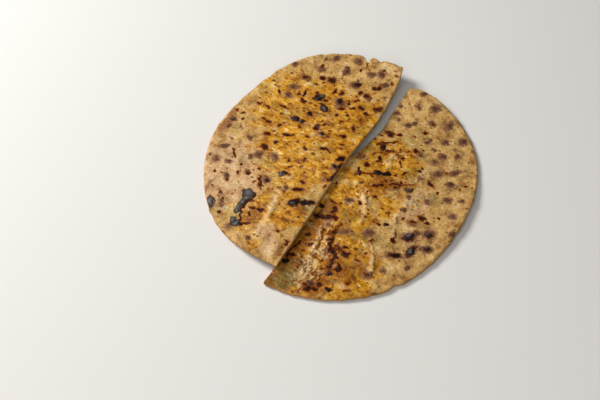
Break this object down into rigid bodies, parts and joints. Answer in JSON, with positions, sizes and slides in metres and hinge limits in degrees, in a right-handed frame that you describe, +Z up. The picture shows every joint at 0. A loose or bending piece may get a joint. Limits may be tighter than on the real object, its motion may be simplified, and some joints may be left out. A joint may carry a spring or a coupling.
{
  "type": "millet chapati",
  "caption": "Round griddled millet flatbread cut across into two halves, one lying with its cut edge over the other's, with scorch marks, folds and a buttered middle.",
  "frame": {"origin": "bottom centre of the bounding box, on the surface that the bread lies on", "axes": "+Z up from the surface, +Y towards the far end of the cut, +X to the right half's round rim"},
  "size_m": [0.1871, 0.2142, 0.0115],
  "materials": {
    "griddled_dough": "griddled millet crust, golden brown with dark scorch marks, glossy where it is buttered"
  },
  "bodies": {
    "root": {"left_half": "griddled_dough", "right_half": "griddled_dough"}
  },
  "joints": []
}
